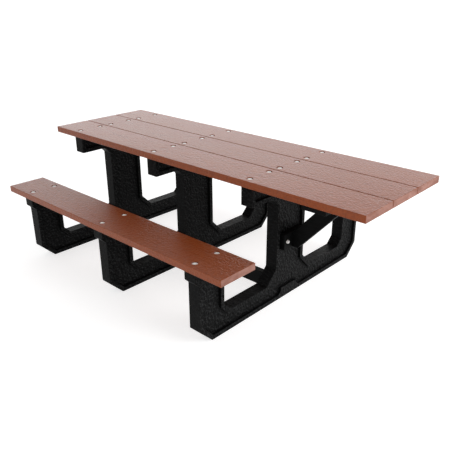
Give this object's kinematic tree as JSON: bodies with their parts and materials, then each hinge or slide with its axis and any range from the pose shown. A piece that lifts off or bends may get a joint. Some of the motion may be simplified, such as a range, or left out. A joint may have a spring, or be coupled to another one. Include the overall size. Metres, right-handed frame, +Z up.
{
  "type": "picnic table",
  "caption": "Free-standing picnic table with moulded black frames, brown plank top and bench seats, and a top that overhangs one end to leave room for a wheelchair.",
  "frame": {"origin": "on the floor, midway along and across the tabletop", "axes": "+X along the planks towards the overhanging end, +Y across the table towards the rear seat, +Z up"},
  "size_m": [2.438, 1.565, 0.807],
  "materials": {
    "recycled_plastic_brown": "satin, fine embossed grain",
    "moulded_plastic_black": "satin, fine pebbled texture",
    "board_black": "satin, fine grain",
    "steel": "bright"
  },
  "bodies": {
    "root": {"tabletop_plank_front": "recycled_plastic_brown", "tabletop_plank_middle": "recycled_plastic_brown", "tabletop_plank_rear": "recycled_plastic_brown", "seat_plank_front": "recycled_plastic_brown", "seat_plank_rear": "recycled_plastic_brown", "frame_left": "moulded_plastic_black", "frame_middle": "moulded_plastic_black", "frame_right": "moulded_plastic_black", "stringer_left": "board_black", "stringer_right": "board_black", "brace_cleat": "board_black", "overhang_brace": "board_black", "overhang_batten": "board_black", "stringer_dowels": "steel", "top_screws_left": "steel", "top_screws_middle": "steel", "top_screws_right": "steel", "top_washers_left": "steel", "top_washers_middle": "steel", "top_washers_right": "steel", "seat_screws_front": "steel", "seat_screws_rear": "steel", "seat_washers_front": "steel", "seat_washers_rear": "steel", "cleat_bolts": "steel", "cleat_washers": "steel", "cleat_nuts": "steel", "brace_foot_screws": "steel", "brace_head_screws": "steel", "batten_screws": "steel"}
  },
  "joints": []
}
